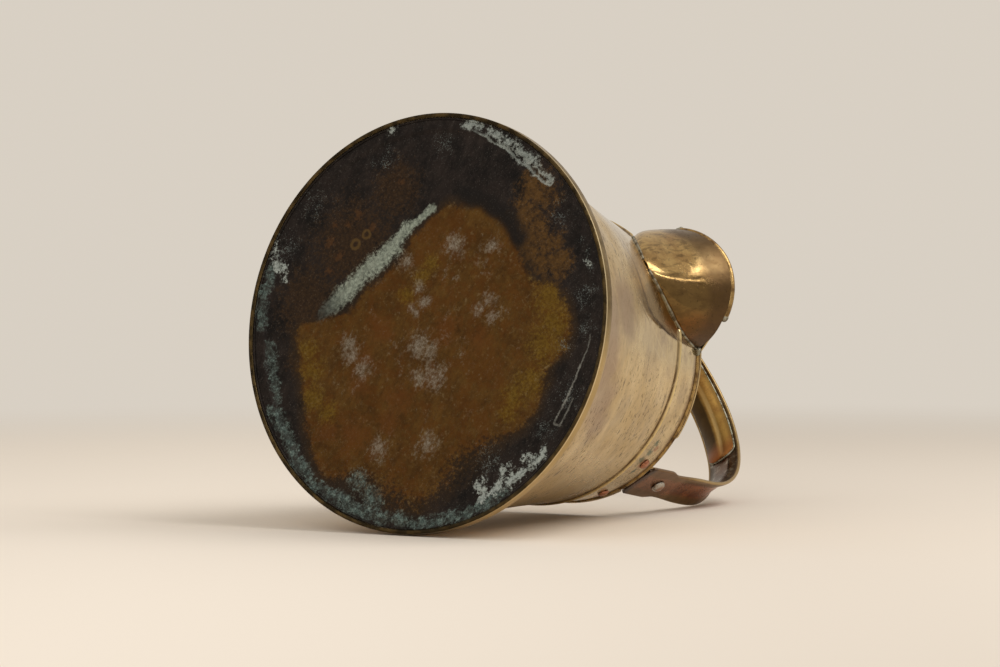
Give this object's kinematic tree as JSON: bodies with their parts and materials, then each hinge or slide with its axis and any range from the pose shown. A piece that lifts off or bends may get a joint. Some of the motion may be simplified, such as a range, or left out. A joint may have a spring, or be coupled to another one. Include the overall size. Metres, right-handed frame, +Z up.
{
  "type": "hot water can",
  "caption": "Waisted sheet brass can on a rolled foot, with a lipped pouring spout, a hinged half lid and a swinging strap handle.",
  "frame": {"origin": "centre of the foot ring, on the plane that the can stands on", "axes": "+Z up along the can's axis, +X towards the spout, +Y towards the left ear"},
  "size_m": [0.24, 0.24, 0.335],
  "materials": {
    "satin_brass": "satin, rubbed, with fine pits and scratches",
    "dark_brass": "polished under a brown tarnish",
    "brown_brass": "brown tarnish, rubbed bright on the edges",
    "gold_brass": "warm golden, dull in the corners",
    "stained_brass": "dark heat stain round an ochre middle, with verdigris",
    "copper": "worn copper",
    "iron_rivet": "worn bright, coppery on the crown"
  },
  "bodies": {
    "can": {"body_shell": "satin_brass", "foot_band": "dark_brass", "base_disc": "stained_brass", "rim_wire": "brown_brass", "spout_shell": "dark_brass", "spout_lip_wire": "brown_brass", "ear_left": "gold_brass", "ear_rivet_left_front": "copper", "ear_rivet_left_rear": "copper", "pivot_rivet_left": "iron_rivet", "pivot_washer_left": "brown_brass", "ear_right": "gold_brass", "ear_rivet_right_front": "copper", "ear_rivet_right_rear": "copper", "pivot_rivet_right": "iron_rivet", "pivot_washer_right": "brown_brass", "rear_cover": "satin_brass", "rear_hinge_leaf": "gold_brass", "hinge_pin": "brown_brass", "rear_leaf_rivet_1": "brown_brass", "rear_leaf_rivet_2": "brown_brass", "rear_leaf_rivet_3": "brown_brass"},
    "bail": {"bail_strap": "brown_brass", "grip_underside": "gold_brass"},
    "lid": {"front_lid": "satin_brass", "front_hinge_leaf": "gold_brass", "front_leaf_rivet_1": "brown_brass", "front_leaf_rivet_2": "brown_brass", "front_leaf_rivet_3": "brown_brass", "lid_knob": "gold_brass", "knob_washer": "brown_brass"}
  },
  "joints": [
    {"name": "bail_swing", "type": "hinge", "parent": "can", "child": "bail", "pos_m": [0, 0, 0.2015], "axis": [0, 1, 0], "range_deg": [-115, 115]},
    {"name": "lid_hinge", "type": "hinge", "parent": "can", "child": "lid", "pos_m": [0, 0, 0.1781], "axis": [0, -1, 0], "range_deg": [0, 160]}
  ]
}
